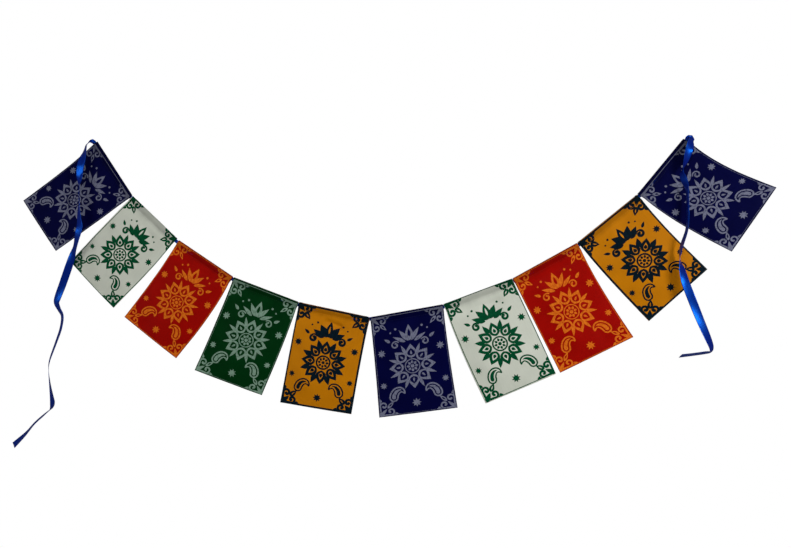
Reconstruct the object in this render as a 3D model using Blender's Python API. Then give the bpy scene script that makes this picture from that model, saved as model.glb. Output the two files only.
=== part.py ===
# A garland of ten printed satin flags hung on one satin ribbon, in metres with +Z up.
# The garland hangs in the XZ plane and its printed faces look towards -Y.
# The origin is the middle of the ribbon where it comes out of the first flag's top left corner.
import math
from collections import namedtuple

import bmesh
import bpy
from mathutils import Vector

# Driving sizes, in millimetres
MM = 0.001
CLOTH = 1.0             # thickness that stands for the cloth of a flag
RIBBON_WIDTH = 10.0     # satin ribbon, flat
RIBBON_GATHERED = 5.0   # its width where it is bunched inside the hems
RIBBON_THICK = 1.0
AXIS_DEPTH = 4.4        # from the fold of a hem down to the middle of the ribbon
HEM_DEPTH = 10.5        # from the fold down to the raw edge turned to the back
WIDENING = 18.0         # length over which a tail opens out to its full width
BOW_LIFT = 0.8          # below 1, a side bows most above its middle
SWELL_DROP = 0.75       # below 1, the cloth stands forward most under its middle

# Steps that set how finely the curved parts are divided
COLUMNS = 8             # across a flag
ROWS = 9                # from the hem to the bottom edge
TAIL_STEP = 7.0         # length of ribbon between two sections of a tail
LEAST_STEPS = 2         # sections of ribbon from one bend to the next, at least
SMOOTH_BELOW = 40.0     # degrees between two faces, above which their edge shows sharp

# The hollow hem in section, from the stitching up to the fold, which closes it.
# Depths run down from the fold and halves run to each side of the cloth, in millimetres.
Hem = namedtuple("Hem", "wall_depth wall_half hollow_depth hollow_half")
HEM_SECTION = (
    Hem(9.0, 1.00, 9.0, 0.00),
    Hem(7.2, 2.00, 7.4, 1.00),
    Hem(4.4, 2.25, 4.6, 1.25),
    Hem(2.2, 2.15, 2.4, 1.15),
    Hem(0.7, 1.35, 1.5, 0.75),
    Hem(0.0, 0.00, 1.0, 0.00),
)

# One row for each flag, in order along the ribbon. Angles are in degrees, sizes in millimetres.
# tilt: how steeply the hem falls to the right. gap: from its right corner to the next flag.
# hang: how far a side swings left of plumb. drop: its length. bow: how far it curves outwards.
# swell: how far the middle stands forward. back: how far a bottom corner lies back.
Flag = namedtuple(
    "Flag",
    "name colour tilt width gap "
    "left_hang left_drop left_bow right_hang right_drop right_bow "
    "swell left_back right_back",
)
FLAGS = (
    Flag("flag_01_navy", "navy", 55.7, 88.5, 0.6, 54.5, 133.5, -2.2, 56.1, 131.2, 0.4, 2.0, 2.5, -1.0),
    Flag("flag_02_white", "white", 42.5, 84.2, 3.8, 45.9, 124.9, 0.4, 44.9, 130.0, 2.4, 3.2, 1.0, 5.0),
    Flag("flag_03_red", "red", 32.9, 88.3, 1.4, 37.4, 127.9, -2.0, 36.6, 134.5, 4.0, 2.6, 2.0, 4.0),
    Flag("flag_04_green", "green", 20.1, 92.6, 0.6, 23.8, 133.4, -0.9, 22.6, 132.0, 1.6, 2.4, -1.0, 3.5),
    Flag("flag_05_yellow", "yellow", 11.4, 94.7, 0.6, 11.2, 132.7, 0.2, 11.1, 127.2, -0.6, 3.4, 1.5, 2.0),
    Flag("flag_06_navy", "navy", -10.3, 94.6, 0.6, -5.4, 128.3, -0.4, -8.1, 131.6, -0.8, 2.2, -1.5, 2.0),
    Flag("flag_07_white", "white", -20.5, 92.1, 0.6, -23.1, 135.5, 2.0, -24.6, 129.8, 0.0, 3.0, 3.0, 0.0),
    Flag("flag_08_red", "red", -29.1, 90.2, 0.6, -26.6, 130.7, 0.0, -30.5, 134.4, -2.6, 2.4, 1.0, 4.0),
    Flag("flag_09_yellow", "yellow", -39.1, 92.2, 0.6, -41.7, 129.3, 1.4, -42.3, 123.5, -2.0, 2.8, 3.0, 1.0),
    Flag("flag_10_navy", "navy", -50.8, 85.6, 0.0, -57.4, 131.2, 3.6, -60.9, 124.1, -5.4, 2.2, -1.0, 3.0),
)

# The free ends of the ribbon, from the flag's corner to the cut end.
# x and z are from the origin, front is how far it stands before the flags, in millimetres.
# turn is in degrees: 0 shows its full width to the front, and 90 shows only its edge.
Bend = namedtuple("Bend", "x z front turn")
LEFT_TAIL = (
    Bend(-1.4, 2.1, 0.2, 12),
    Bend(-5.4, 2.5, 3.8, 65),
    Bend(-8.6, -1.8, 6.6, 62),
    Bend(-9.4, -7.6, 8.6, 56),
    Bend(-10.1, -14.0, 10.6, 36),
    Bend(-11.7, -21.5, 12.6, 12),
    Bend(-13.6, -30.5, 13.8, 0),
    Bend(-15.7, -42.0, 13.0, 6),
    Bend(-16.0, -51.0, 12.6, 34),
    Bend(-16.2, -60.0, 12.8, 64),
    Bend(-16.0, -76.0, 13.4, 62),
    Bend(-16.2, -90.0, 13.8, 46),
    Bend(-15.3, -103.0, 14.6, 30),
    Bend(-14.3, -111.0, 15.6, 16),
    Bend(-15.9, -119.0, 15.8, 12),
    Bend(-18.5, -128.0, 15.0, 24),
    Bend(-22.7, -140.0, 12.2, 33),
    Bend(-28.2, -152.0, 9.4, 6),
    Bend(-36.4, -169.5, 5.8, -18),
    Bend(-45.8, -190.0, 2.4, -10),
    Bend(-52.9, -205.5, 0.8, 4),
    Bend(-54.9, -213.6, 0.6, 19),
    Bend(-50.3, -222.6, 1.6, 37),
    Bend(-45.7, -231.5, 2.4, 42),
    Bend(-47.5, -248.0, 3.2, 46),
    Bend(-54.8, -268.5, 3.6, 50),
    Bend(-63.0, -290.5, 4.0, 55),
    Bend(-64.7, -304.0, 4.0, 61),
    Bend(-62.6, -323.0, 4.2, 72),
    Bend(-60.0, -338.5, 4.6, 87),
    Bend(-58.6, -348.0, 5.0, 99),
    Bend(-60.4, -355.8, 5.0, 84),
    Bend(-68.2, -362.2, 5.0, 68),
    Bend(-84.0, -375.4, 4.6, 62),
    Bend(-98.2, -390.8, 4.2, 52),
    Bend(-115.8, -406.6, 4.0, 30),
)
RIGHT_TAIL = (
    Bend(766.6, -11.4, 0.1, 8),
    Bend(770.0, -11.2, 4.2, 54),
    Bend(769.4, -17.0, 8.4, 34),
    Bend(767.8, -24.5, 10.0, 22),
    Bend(765.6, -31.5, 10.2, 34),
    Bend(762.9, -40.0, 10.6, 56),
    Bend(759.7, -48.0, 11.4, 84),
    Bend(758.4, -54.0, 12.2, 114),
    Bend(760.4, -60.5, 12.8, 136),
    Bend(763.0, -68.0, 13.0, 120),
    Bend(764.6, -76.0, 13.0, 104),
    Bend(765.1, -94.5, 13.0, 103),
    Bend(765.1, -107.5, 13.0, 103),
    Bend(764.0, -122.0, 13.0, 104),
    Bend(758.9, -138.5, 13.0, 108),
    Bend(756.4, -149.0, 13.0, 100),
    Bend(756.4, -159.0, 13.4, 76),
    Bend(758.9, -170.5, 14.8, 40),
    Bend(762.0, -184.0, 16.4, 14),
    Bend(766.2, -196.0, 17.2, 4),
    Bend(770.4, -207.0, 16.8, 2),
    Bend(779.4, -230.0, 14.2, 3),
    Bend(787.9, -251.6, 11.4, 8),
    Bend(792.0, -262.8, 9.4, 34),
    Bend(791.4, -267.8, 7.4, 72),
    Bend(784.6, -269.5, 5.8, 66),
    Bend(772.0, -271.6, 4.8, 66),
    Bend(757.8, -273.6, 4.0, 64),
)

# Base colour and roughness of each cloth
FINISHES = {
    "navy": ((0.010, 0.008, 0.062, 1.0), 0.45),
    "white": ((0.62, 0.61, 0.55, 1.0), 0.50),
    "red": ((0.36, 0.008, 0.006, 1.0), 0.45),
    "green": ((0.004, 0.040, 0.010, 1.0), 0.45),
    "yellow": ((0.55, 0.20, 0.004, 1.0), 0.45),
    "ribbon": ((0.004, 0.012, 0.26, 1.0), 0.30),
}


def along_tilt(degrees):
    """Unit step to the right along a hem that falls by this angle."""
    angle = math.radians(degrees)
    return Vector((math.cos(angle), 0.0, -math.sin(angle)))


def down_hang(degrees):
    """Unit step down a side that swings left of plumb by this angle."""
    angle = math.radians(degrees)
    return Vector((-math.sin(angle), 0.0, -math.cos(angle)))


def top_corners():
    """Left and right ends of the fold of every hem, walked along the garland from the origin."""
    corners = []
    corner = -down_hang(FLAGS[0].tilt) * AXIS_DEPTH
    for index, flag in enumerate(FLAGS):
        end = corner + along_tilt(flag.tilt) * flag.width
        corners.append((corner, end))
        if index + 1 < len(FLAGS):
            mean_tilt = (flag.tilt + FLAGS[index + 1].tilt) / 2
            corner = end + along_tilt(mean_tilt) * flag.gap
    return corners


def ribbon_axis(corners):
    """Points of the ribbon inside the hems: its two ends and one bend between each pair of flags."""
    axis = [corners[0][0] + down_hang(FLAGS[0].tilt) * AXIS_DEPTH]
    for index in range(len(FLAGS) - 1):
        joint = (corners[index][1] + corners[index + 1][0]) / 2
        first = down_hang(FLAGS[index].tilt)
        second = down_hang(FLAGS[index + 1].tilt)
        axis.append(joint + (first + second) * (AXIS_DEPTH / (1 + first.dot(second))))
    axis.append(corners[-1][1] + down_hang(FLAGS[-1].tilt) * AXIS_DEPTH)
    return axis


def on_flag(flag, corners, across, depth, below):
    """A point of the cloth's back face: across runs 0 to 1 from left to right.

    In the hem, depth is millimetres below the fold. Under it, below runs 0 to 1 from the hem's
    edge to the bottom, and depth is not used.
    """
    left_way = down_hang(flag.left_hang)
    right_way = down_hang(flag.right_hang)
    if below is None:
        left = corners[0] + left_way * depth
        right = corners[1] + right_way * depth
        return left.lerp(right, across)
    left_depth = HEM_DEPTH + (flag.left_drop - HEM_DEPTH) * below
    right_depth = HEM_DEPTH + (flag.right_drop - HEM_DEPTH) * below
    arch = math.sin(math.pi * below ** BOW_LIFT)
    outward = along_tilt((flag.left_hang + flag.right_hang) / 2)
    left = corners[0] + left_way * left_depth - outward * (flag.left_bow * arch)
    right = corners[1] + right_way * right_depth + outward * (flag.right_bow * arch)
    point = left.lerp(right, across)
    swell = flag.swell * math.sin(math.pi * across) * math.sin(math.pi * below * SWELL_DROP) ** 2
    back = flag.left_back + (flag.right_back - flag.left_back) * across
    point.y = back * below ** 2 - swell
    return point


def build_flag(flag, corners):
    """One flag: a sheet whose top edge is turned to the back and stitched into a hollow hem."""
    mesh = bmesh.new()
    outer = []
    hollow = []
    for column in range(COLUMNS + 1):
        across = column / COLUMNS
        front = []
        rear = []
        for row in range(ROWS, -1, -1):
            point = on_flag(flag, corners, across, 0.0, row / ROWS)
            front.append(point + Vector((0.0, -CLOTH, 0.0)))
            rear.append(point)
        wall_front = []
        wall_rear = []
        hollow_front = []
        hollow_rear = []
        for station in HEM_SECTION:
            wall = on_flag(flag, corners, across, station.wall_depth, None)
            inner = on_flag(flag, corners, across, station.hollow_depth, None)
            wall_front.append(wall + Vector((0.0, -station.wall_half, 0.0)))
            wall_rear.append(wall + Vector((0.0, station.wall_half, 0.0)))
            hollow_front.append(inner + Vector((0.0, -station.hollow_half, 0.0)))
            hollow_rear.append(inner + Vector((0.0, station.hollow_half, 0.0)))
        turned_edge = on_flag(flag, corners, across, HEM_DEPTH, None) + Vector((0.0, CLOTH, 0.0))
        # The fold and the stitching are each one point that the front and the back share.
        ring = front + wall_front + wall_rear[-2::-1] + [turned_edge] + rear[::-1]
        outer.append([mesh.verts.new(point) for point in ring])
        loop = hollow_front + hollow_rear[-2:0:-1]
        hollow.append([mesh.verts.new(point) for point in loop])
    for rings in (outer, hollow):
        around = len(rings[0])
        for column in range(COLUMNS):
            for index in range(around):
                after = (index + 1) % around
                mesh.faces.new((
                    rings[column][index],
                    rings[column][after],
                    rings[column + 1][after],
                    rings[column + 1][index],
                ))
    for column in (0, COLUMNS):
        close_side(mesh, outer[column], hollow[column])
    bmesh.ops.recalc_face_normals(mesh, faces=mesh.faces)
    return mesh


def close_side(mesh, ring, loop):
    """Fill a flag's cut side: the cloth's edge, and the wall around the hollow hem."""
    for index in range(ROWS):
        mesh.faces.new((ring[index], ring[index + 1], ring[-2 - index], ring[-1 - index]))
    stitch = ROWS + 1
    stations = 2 * (len(HEM_SECTION) - 1)
    for index in range(stations):
        inner = loop[index]
        inner_after = loop[(index + 1) % stations]
        mesh.faces.new((ring[stitch + index], ring[stitch + index + 1], inner_after, inner))
    turned_edge = stitch + stations + 1
    mesh.faces.new((
        ring[ROWS],
        ring[stitch],
        loop[0],
        ring[stitch + stations],
        ring[turned_edge],
        ring[turned_edge + 1],
    ))


def smooth_route(bends, start):
    """Points and turns about TAIL_STEP apart on a smooth curve from the start through the bends."""
    knots = [start] + [(Vector((b.x, -b.front, b.z)), b.turn) for b in bends]
    route = []
    for index in range(len(knots) - 1):
        before = knots[max(index - 1, 0)]
        first = knots[index]
        second = knots[index + 1]
        after = knots[min(index + 2, len(knots) - 1)]
        pieces = max(LEAST_STEPS, round((second[0] - first[0]).length / TAIL_STEP))
        for piece in range(pieces):
            route.append(curve_point(before, first, second, after, (piece + 1) / pieces))
    return route


def curve_point(before, first, second, after, part):
    """A point and a turn between two knots, on the curve that also heeds the knots around them."""
    weights = (
        -0.5 * part + part ** 2 - 0.5 * part ** 3,
        1.0 - 2.5 * part ** 2 + 1.5 * part ** 3,
        0.5 * part + 2.0 * part ** 2 - 1.5 * part ** 3,
        -0.5 * part ** 2 + 0.5 * part ** 3,
    )
    knots = (before, first, second, after)
    place = Vector((0.0, 0.0, 0.0))
    turn = 0.0
    for weight, knot in zip(weights, knots):
        place += knot[0] * weight
        turn += knot[1] * weight
    return (place, turn)


def build_ribbon(corners):
    """The whole ribbon as one strip: left tail, the run through every hem, right tail."""
    axis = ribbon_axis(corners)
    left = smooth_route(LEFT_TAIL, (axis[0], 0.0))
    right = smooth_route(RIGHT_TAIL, (axis[-1], 0.0))
    places = [place for place, turn in reversed(left)]
    places += axis
    places += [place for place, turn in right]
    turns = [turn for place, turn in reversed(left)]
    turns += [0.0] * len(axis)
    turns += [turn for place, turn in right]
    first_in_hem = len(left)
    last_in_hem = len(left) + len(axis) - 1
    gone = [0.0]
    for here, there in zip(places, places[1:]):
        gone.append(gone[-1] + (there - here).length)
    mesh = bmesh.new()
    sections = []
    for index, place in enumerate(places):
        outside = max(gone[first_in_hem] - gone[index], gone[index] - gone[last_in_hem], 0.0)
        opened = min(outside / WIDENING, 1.0)
        half_width = (RIBBON_GATHERED + (RIBBON_WIDTH - RIBBON_GATHERED) * opened) / 2
        half_thick = RIBBON_THICK / 2
        ahead = (places[min(index + 1, len(places) - 1)] - places[max(index - 1, 0)]).normalized()
        flat_side = ahead.cross(Vector((0.0, 1.0, 0.0))).normalized()
        front_side = flat_side.cross(ahead)
        angle = math.radians(turns[index])
        wide = flat_side * math.cos(angle) + front_side * math.sin(angle)
        thick = ahead.cross(wide)
        section = []
        for side, face in ((-1, -1), (1, -1), (1, 1), (-1, 1)):
            section.append(mesh.verts.new(place + wide * side * half_width + thick * face * half_thick))
        sections.append(section)
    # Every stretch is split along the same diagonal on both its sides, so where the ribbon twists
    # they stay apart.
    for here, there in zip(sections, sections[1:]):
        for near, far in ((0, 1), (3, 2), (1, 2), (0, 3)):
            mesh.faces.new((here[near], here[far], there[far]))
            mesh.faces.new((here[near], there[far], there[near]))
    mesh.faces.new(sections[0])
    mesh.faces.new(sections[-1])
    bmesh.ops.recalc_face_normals(mesh, faces=mesh.faces)
    return mesh


def make_material(name):
    """A plain cloth finish with the colour of that flag or of the ribbon."""
    colour, roughness = FINISHES[name]
    material = bpy.data.materials.new(name + "_satin")
    material.use_nodes = True
    shader = material.node_tree.nodes["Principled BSDF"]
    shader.inputs["Base Color"].default_value = colour
    shader.inputs["Roughness"].default_value = roughness
    shader.inputs["Metallic"].default_value = 0.0
    material.diffuse_color = colour
    return material


def add_piece(name, mesh, colour):
    """Turn millimetres into metres and place the finished piece in the scene."""
    bmesh.ops.scale(mesh, vec=(MM, MM, MM), verts=mesh.verts)
    data = bpy.data.meshes.new(name)
    mesh.to_mesh(data)
    mesh.free()
    data.materials.append(make_material(colour))
    data.shade_smooth()
    data.set_sharp_from_angle(angle=math.radians(SMOOTH_BELOW))
    piece = bpy.data.objects.new(name, data)
    bpy.context.scene.collection.objects.link(piece)
    return piece


def main():
    for item in list(bpy.data.objects):
        bpy.data.objects.remove(item, do_unlink=True)
    corners = top_corners()
    for flag, ends in zip(FLAGS, corners):
        add_piece(flag.name, build_flag(flag, ends), flag.colour)
    add_piece("ribbon", build_ribbon(corners), "ribbon")


main()
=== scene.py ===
# Ten printed satin flags threaded by their hollow hems on one blue satin ribbon.
# Lengths are in millimetres until a mesh is made. The camera, the lights and the floor are in metres.
import math

import bmesh
import bpy
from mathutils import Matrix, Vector, noise
from mathutils.geometry import delaunay_2d_cdt


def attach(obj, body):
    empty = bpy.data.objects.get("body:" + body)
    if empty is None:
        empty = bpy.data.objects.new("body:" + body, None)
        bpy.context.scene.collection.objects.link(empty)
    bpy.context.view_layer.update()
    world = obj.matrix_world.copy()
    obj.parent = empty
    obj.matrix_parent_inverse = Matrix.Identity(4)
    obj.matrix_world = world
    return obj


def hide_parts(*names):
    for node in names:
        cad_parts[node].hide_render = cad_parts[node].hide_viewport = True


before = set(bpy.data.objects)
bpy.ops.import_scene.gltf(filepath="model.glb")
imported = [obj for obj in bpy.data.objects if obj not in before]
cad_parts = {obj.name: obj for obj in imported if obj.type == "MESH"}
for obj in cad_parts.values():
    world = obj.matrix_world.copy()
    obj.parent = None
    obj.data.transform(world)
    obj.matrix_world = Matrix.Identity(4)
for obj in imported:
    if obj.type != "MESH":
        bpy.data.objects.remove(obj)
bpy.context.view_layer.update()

mm = 0.001

# Camera
cameraSetup = {
    "lookAt": (0.4079, 0.0, -0.17475),
    "distance": 1.2843,
    "turn": 9.7,              # degrees that it stands to the right of straight ahead
    "lens": 46.02,
    "sensor": 36.0,
}


def addCamera():
    turn = math.radians(cameraSetup["turn"])
    away = Vector((math.sin(turn), -math.cos(turn), 0.0)) * cameraSetup["distance"]
    data = bpy.data.cameras.new("camera")
    data.lens = cameraSetup["lens"]
    data.sensor_width = cameraSetup["sensor"]
    camera = bpy.data.objects.new("camera", data)
    camera.location = Vector(cameraSetup["lookAt"]) + away
    camera.rotation_euler = (math.radians(90.0), 0.0, turn)
    bpy.context.scene.collection.objects.link(camera)
    bpy.context.scene.camera = camera


addCamera()
print("camera placed")


# Colours and nodes
def linear(hexColour):
    # sRGB hex to the linear values that a shader takes
    channels = []
    for start in (1, 3, 5):
        value = int(hexColour[start:start + 2], 16) / 255
        channels.append(value / 12.92 if value <= 0.04045 else ((value + 0.055) / 1.055) ** 2.4)
    return (*channels, 1.0)


def addNode(tree, kind, settings=None, inputs=None):
    # Adds a node. A socket given as an input is linked, and anything else is set as its value.
    node = tree.nodes.new(kind)
    for name, value in (settings or {}).items():
        setattr(node, name, value)
    for name, value in (inputs or {}).items():
        if isinstance(value, bpy.types.NodeSocket):
            tree.links.new(value, node.inputs[name])
        else:
            node.inputs[name].default_value = value
    return node


def newMaterial(name):
    material = bpy.data.materials.new(name)
    material.use_nodes = True
    material.node_tree.nodes.clear()
    return material


def finishMaterial(material, shaderInputs, shown):
    tree = material.node_tree
    shader = addNode(tree, "ShaderNodeBsdfPrincipled", {}, shaderInputs)
    addNode(tree, "ShaderNodeOutputMaterial", {}, {"Surface": shader.outputs["BSDF"]})
    material.diffuse_color = linear(shown)
    return material


# Flags, as cut: the drop is measured from the fold at the top of the hem.
flagCloth = {
    "width": 92.0,
    "drop": 132.0,
    "turned": 10.5,           # turned to the back at the top
    "stitching": 9.0,         # below the fold
    "hemHalf": 1.6,           # how far each wall of the hollow hem stands off its middle
    "hemMiddle": 4.4,         # below the fold, where the ribbon runs
    "thickness": 0.3,
    "mesh": 1.6,              # spacing of the mesh
    "hemMesh": 0.55,          # spacing round the hem
    "layerHalf": 0.25,        # how far each of the two layers lies off the hem's middle when stitched
    "lumps": 0.10,            # share by which the filled hem swells and sinks
    "lumpSize": (11.0, 9.0),
    "flapLean": 0.25,         # how steeply the raw edge stands off behind the stitching
    "flapWander": 0.15,
    "flapWave": 8.0,
    "foldsGrow": 12.0,        # how far below the stitching the folds reach their height
    "gathers": 0.35,          # small puckers under the stitching
    "gatherSize": (5.5, 30.0),
    "gatherFade": 16.0,
    "flutter": 0.8,           # waves of the two cut sides
    "flutterLength": 26.0,
}

# Angles are in degrees. tilt: how steeply the hem falls to the right. gap: to the next flag.
# left and right: how far that side swings left of plumb, its length, and how far it bows outwards.
# swell: how far the middle stands forward. back: how far the bottom corners lie back.
# folds: soft ridges from (across, down) to (across, down), with a width and a height.
# shift and turn: how far off its middle the print was pulled. topLine: its border below the fold.
flags = [
    {
        "name": "flag_01_navy", "colour": "navy", "tilt": 55.7, "width": 88.5, "gap": 0.6,
        "left": (54.5, 133.5, -2.2), "right": (56.1, 131.2, 0.4), "swell": 2.0, "back": (2.5, -1.0),
        "folds": [(20, 20, 30, 80, 9, 1.2), (60, 15, 52, 60, 8, -1.1), (80, 60, 70, 120, 10, 0.9)],
        "shift": (0.0, 0.3), "turn": 0.3, "topLine": 4.2,
    },
    {
        "name": "flag_02_white", "colour": "white", "tilt": 42.5, "width": 84.2, "gap": 3.8,
        "left": (45.9, 124.9, 0.4), "right": (44.9, 130.0, 2.4), "swell": 3.2, "back": (1.0, 5.0),
        "folds": [(18, 14, 60, 22, 6, -1.2), (55, 13, 82, 15, 4, 1.0), (20, 60, 30, 115, 10, 1.0)],
        "shift": (0.4, -0.6), "turn": -0.4, "topLine": -1.6,
    },
    {
        "name": "flag_03_red", "colour": "red", "tilt": 32.9, "width": 88.3, "gap": 1.4,
        "left": (37.4, 127.9, -2.0), "right": (36.6, 134.5, 4.0), "swell": 2.6, "back": (2.0, 4.0),
        "folds": [(10, 18, 70, 16, 5, -1.0), (70, 30, 62, 90, 9, 1.2), (22, 60, 30, 120, 9, -0.8)],
        "shift": (-0.2, 0.2), "turn": 0.0, "topLine": 1.5,
    },
    {
        "name": "flag_04_green", "colour": "green", "tilt": 20.1, "width": 92.6, "gap": 0.6,
        "left": (23.8, 133.4, -0.9), "right": (22.6, 132.0, 1.6), "swell": 2.4, "back": (-1.0, 3.5),
        "folds": [(20, 14, 26, 70, 8, 1.0), (64, 14, 58, 90, 9, -1.0), (80, 70, 74, 125, 9, 0.8)],
        "shift": (0.2, 0.0), "turn": -0.2, "topLine": 2.6,
    },
    {
        "name": "flag_05_yellow", "colour": "yellow", "tilt": 11.4, "width": 94.7, "gap": 0.6,
        "left": (11.2, 132.7, 0.2), "right": (11.1, 127.2, -0.6), "swell": 3.4, "back": (1.5, 2.0),
        "folds": [(42, 17, 56, 20, 4.5, -3.6), (16, 30, 22, 100, 9, 0.9), (74, 40, 70, 110, 9, 0.8)],
        "shift": (-0.3, 0.3), "turn": 0.2, "topLine": 1.0,
    },
    {
        "name": "flag_06_navy", "colour": "navy", "tilt": -10.3, "width": 94.6, "gap": 0.6,
        "left": (-5.4, 128.3, -0.4), "right": (-8.1, 131.6, -0.8), "swell": 2.2, "back": (-1.5, 2.0),
        "folds": [(24, 14, 20, 80, 9, 1.0), (60, 16, 66, 90, 10, -1.0), (40, 90, 44, 130, 8, 0.8)],
        "shift": (0.2, -0.2), "turn": 0.0, "topLine": 2.3,
    },
    {
        "name": "flag_07_white", "colour": "white", "tilt": -20.5, "width": 92.1, "gap": 0.6,
        "left": (-23.1, 135.5, 2.0), "right": (-24.6, 129.8, 0.0), "swell": 3.0, "back": (3.0, 0.0),
        "folds": [(24, 14, 66, 20, 6, -1.8), (72, 20, 60, 90, 9, 1.2), (18, 60, 26, 120, 10, 0.9)],
        "shift": (0.5, 0.4), "turn": 0.4, "topLine": 0.6,
    },
    {
        "name": "flag_08_red", "colour": "red", "tilt": -29.1, "width": 90.2, "gap": 0.6,
        "left": (-26.6, 130.7, 0.0), "right": (-30.5, 134.4, -2.6), "swell": 2.4, "back": (1.0, 4.0),
        "folds": [(12, 15, 80, 16, 5, -1.0), (26, 30, 34, 100, 9, 1.1), (70, 50, 64, 120, 9, -0.9)],
        "shift": (0.0, 0.0), "turn": -0.3, "topLine": 1.6,
    },
    {
        "name": "flag_09_yellow", "colour": "yellow", "tilt": -39.1, "width": 92.2, "gap": 0.6,
        "left": (-41.7, 129.3, 1.4), "right": (-42.3, 123.5, -2.0), "swell": 2.8, "back": (3.0, 1.0),
        "folds": [(10, 20, 40, 50, 8, -1.1), (40, 14, 34, 80, 9, 1.0), (70, 60, 60, 120, 10, 0.9)],
        "shift": (0.3, 0.0), "turn": 0.2, "topLine": 1.2,
    },
    {
        "name": "flag_10_navy", "colour": "navy", "tilt": -50.8, "width": 85.6, "gap": 0.0,
        "left": (-57.4, 131.2, 3.6), "right": (-60.9, 124.1, -5.4), "swell": 2.2, "back": (-1.0, 3.0),
        "folds": [(20, 14, 30, 80, 9, 1.1), (60, 14, 50, 90, 9, -1.1), (76, 60, 70, 120, 9, 0.9)],
        "shift": (-0.3, 0.2), "turn": 0.0, "topLine": 4.4,
    },
]


def alongTilt(degrees):
    angle = math.radians(degrees)
    return Vector((math.cos(angle), 0.0, -math.sin(angle)))


def downHang(degrees):
    angle = math.radians(degrees)
    return Vector((-math.sin(angle), 0.0, -math.cos(angle)))


def placeCorners():
    # Both ends of every fold, walked along the garland from the ribbon's exit on the left
    corner = -downHang(flags[0]["tilt"]) * flagCloth["hemMiddle"]
    for flag, after in zip(flags, flags[1:] + flags[-1:]):
        end = corner + alongTilt(flag["tilt"]) * flag["width"]
        flag["corners"] = (corner, end)
        corner = end + alongTilt((flag["tilt"] + after["tilt"]) / 2) * flag["gap"]


placeCorners()


def smooth(part):
    part = min(max(part, 0.0), 1.0)
    return part * part * (3 - 2 * part)


def hemWall(depth):
    # How far a wall of the hem stands off its middle: round at the fold, flat at the stitching
    middle = flagCloth["hemMiddle"]
    half = flagCloth["hemHalf"]
    if depth < middle:
        return half * math.sqrt(max(0.0, 1 - ((middle - depth) / middle) ** 2))
    part = min((depth - middle) / (flagCloth["stitching"] - middle), 1.0)
    flat = flagCloth["layerHalf"]
    return flat + (half - flat) * (0.5 + 0.5 * math.cos(math.pi * part))


def foldHeight(flag, across, down):
    # Sum of the soft ridges and troughs at a place on the cloth
    height = 0.0
    for startAcross, startDown, endAcross, endDown, width, rise in flag["folds"]:
        start = Vector((startAcross, startDown))
        way = Vector((endAcross, endDown)) - start
        part = (Vector((across, down)) - start).dot(way) / way.length_squared
        nearest = start + way * min(max(part, 0.0), 1.0)
        away = (Vector((across, down)) - nearest).length
        height += rise * math.exp(-(away / width) ** 2)
    return height


def clothPoint(flag, across, down):
    # A point on the middle of the cloth. down is negative on the part turned to the back.
    size = flagCloth
    part = across / size["width"]
    leftHang, leftDrop, leftBow = flag["left"]
    rightHang, rightDrop, rightBow = flag["right"]
    leftWay = downHang(leftHang)
    rightWay = downHang(rightHang)
    cornerLeft, cornerRight = flag["corners"]
    seed = flag["width"] * 3.7
    depth = abs(down)
    if down <= size["turned"]:
        point = (cornerLeft + leftWay * depth).lerp(cornerRight + rightWay * depth, part)
        lumpAcross, lumpDown = size["lumpSize"]
        lump = 1 + size["lumps"] * noise.noise((across / lumpAcross, depth / lumpDown, seed))
        wall = hemWall(depth) * lump
        if down < 0:
            flap = max(0.0, depth - size["stitching"])
            wave = noise.noise((across / size["flapWave"], 0.0, seed))
            point.y = wall + flap * (size["flapLean"] + size["flapWander"] * wave)
        else:
            point.y = -wall
    else:
        below = (down - size["turned"]) / (size["drop"] - size["turned"])
        leftDepth = size["turned"] + (leftDrop - size["turned"]) * below
        rightDepth = size["turned"] + (rightDrop - size["turned"]) * below
        arch = math.sin(math.pi * min(below, 1.0) ** 0.8)  # the sides bow most above their middle
        outward = alongTilt((leftHang + rightHang) / 2)
        left = cornerLeft + leftWay * leftDepth - outward * (leftBow * arch)
        right = cornerRight + rightWay * rightDepth + outward * (rightBow * arch)
        point = left.lerp(right, part)
        fullness = math.sin(math.pi * below * 0.75) ** 2  # the cloth swells most two thirds down
        swell = flag["swell"] * math.sin(math.pi * part) * fullness
        back = flag["back"][0] + (flag["back"][1] - flag["back"][0]) * part
        # Just below the hem the single cloth settles a little further forward
        point.y = back * below ** 2 - swell - size["layerHalf"] * (1 + smooth(below * 12))
    if down > size["stitching"]:
        under = down - size["stitching"]
        grown = smooth(under / size["foldsGrow"])
        point.y -= foldHeight(flag, across, down) * grown
        gatherAcross, gatherDown = size["gatherSize"]
        pucker = noise.noise((across / gatherAcross, down / gatherDown, seed + 5))
        point.y -= size["gathers"] * pucker * smooth(under / 3) * math.exp(-under / size["gatherFade"])
        side = abs(2 * part - 1) ** 6
        wave = noise.noise((part * 3, down / size["flutterLength"], seed + 9))
        point.y -= size["flutter"] * wave * side * grown
    return point


# The print is one design in print space: x to the right and y up from its middle. The numbers in its
# shapes are places, lengths and half widths there.
printDesign = {
    "halfWidth": 45.4,
    "halfHeight": 65.4,
    "barLength": 23.0,        # thicker part of the border beside each corner
    "flowerMiddle": (0.0, -5.0),
    "flowerPetals": 8,
    "flowerRadius": 28.5,
    "flowerRing": 9.6,
    "stars": ((36.5, 16, 5.2), (0, -52, 5.6), (37.5, -26, 4.4)),  # x, y and size, on both sides
    "starNotch": 0.55,        # how far in the notches between a star's eight points lie
}

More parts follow.
